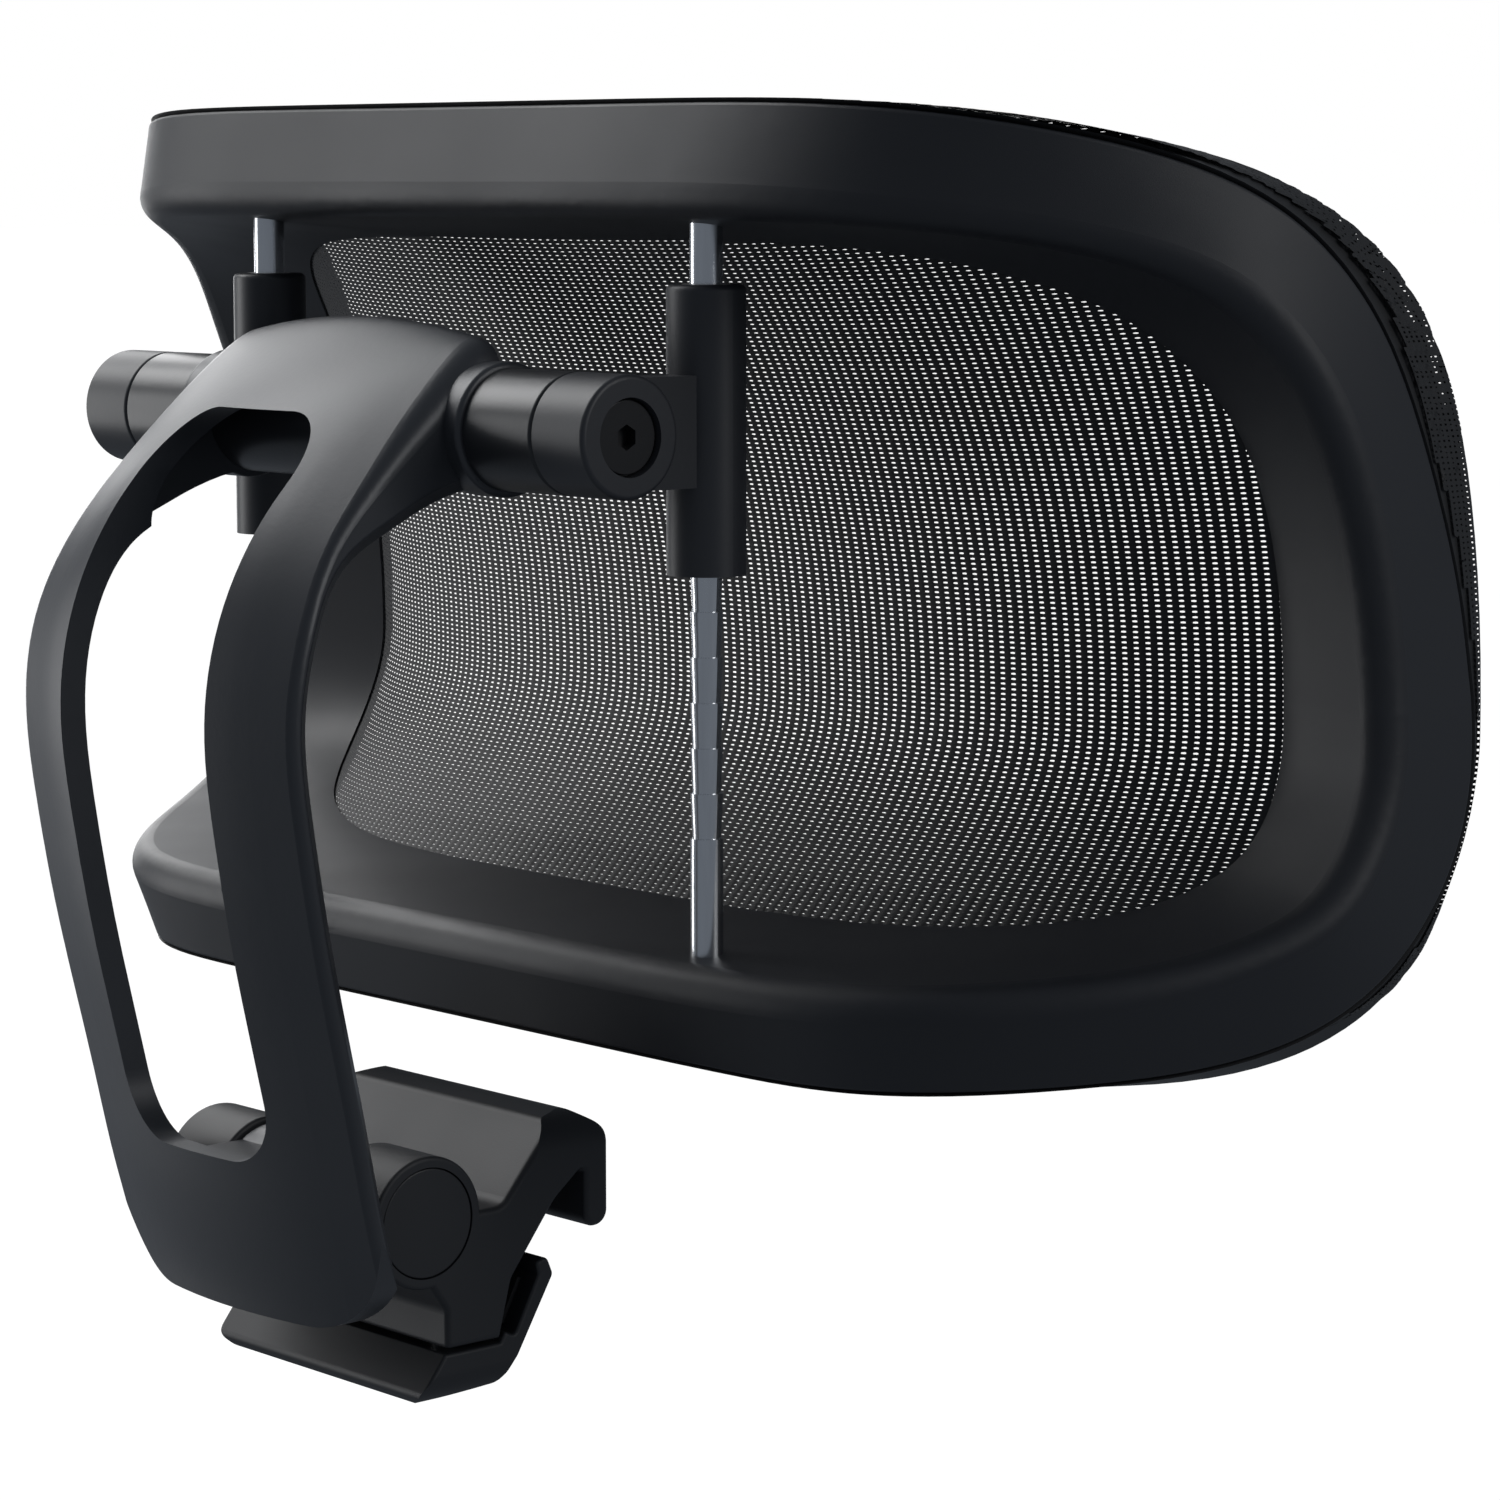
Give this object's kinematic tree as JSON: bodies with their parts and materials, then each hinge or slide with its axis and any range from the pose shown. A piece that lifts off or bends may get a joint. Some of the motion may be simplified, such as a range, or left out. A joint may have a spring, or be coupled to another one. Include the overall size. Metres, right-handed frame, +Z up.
{
  "type": "chair headrest attachment",
  "caption": "Wide curved mesh headrest on notched guide rods, held by a tilting two-legged arm with a pivoting clamp that grips the rail of a chair back.",
  "frame": {"origin": "in the rail channel of the clamp, midway between the clamp's ends, between the body's rubber seat and the jaw's hook", "axes": "+Z up, +Y towards the sitter's head, +X along the rail, to the right seen from behind the chair"},
  "size_m": [0.3306, 0.1829, 0.2388],
  "materials": {
    "frame_plastic": "matt moulded charcoal plastic",
    "carrier_plastic": "matt black moulded plastic",
    "mesh_fabric": "open black knit",
    "cord_plastic": "extruded black cord",
    "rod_steel": "bright drawn steel",
    "arm_paint": "satin charcoal powder coat on a casting",
    "tube_paint": "satin charcoal paint",
    "bracket_paint": "matt charcoal coat on a casting",
    "clamp_plastic": "matt charcoal glass-filled plastic",
    "cap_plastic": "matt charcoal plastic",
    "liner_plastic": "low-friction natural plastic",
    "black_steel": "black oxide",
    "zinc_steel": "zinc plated",
    "grip_rubber": "matt rubber"
  },
  "bodies": {
    "clamp": {"clamp_body": "clamp_plastic", "pivot_bolt": "zinc_steel", "pivot_nut": "zinc_steel", "friction_washers": "liner_plastic", "barrel_cap_left": "cap_plastic", "barrel_cap_right": "cap_plastic", "clamp_nuts": "zinc_steel", "body_pad": "grip_rubber"},
    "jaw": {"lower_jaw": "clamp_plastic", "jaw_pad": "grip_rubber", "clamp_screws": "zinc_steel"},
    "arm": {"arm_frame": "arm_paint", "pivot_bushes": "liner_plastic", "tilt_tube": "tube_paint", "tilt_bushes": "liner_plastic", "tilt_washers": "liner_plastic"},
    "bracket": {"bracket_left": "bracket_paint", "bracket_right": "bracket_paint", "sleeve_liners": "liner_plastic", "detent_plungers": "zinc_steel", "detent_springs": "zinc_steel", "tilt_axle": "zinc_steel", "cap_screws": "black_steel", "screw_washers": "black_steel"},
    "headrest": {"rear_frame": "frame_plastic", "mesh_carrier": "carrier_plastic", "mesh_panel": "mesh_fabric", "mesh_edge_cord": "cord_plastic", "rod_left": "rod_steel", "rod_right": "rod_steel", "rod_pins": "zinc_steel"}
  },
  "joints": [
    {"name": "jaw_slide", "type": "slide", "parent": "clamp", "child": "jaw", "axis": [0, 0, 1], "range_m": [-0.004, 0.0008]},
    {"name": "arm_pivot", "type": "hinge", "parent": "clamp", "child": "arm", "pos_m": [0, -0.024, 0.01], "axis": [1, 0, 0], "range_deg": [-12, 20]},
    {"name": "head_tilt", "type": "hinge", "parent": "arm", "child": "bracket", "pos_m": [0, -0.0114, 0.155], "axis": [1, 0, 0], "range_deg": [-12, 20]},
    {"name": "height", "type": "slide", "parent": "bracket", "child": "headrest", "axis": [0, 0, 1], "range_m": [0, 0.0495]}
  ]
}
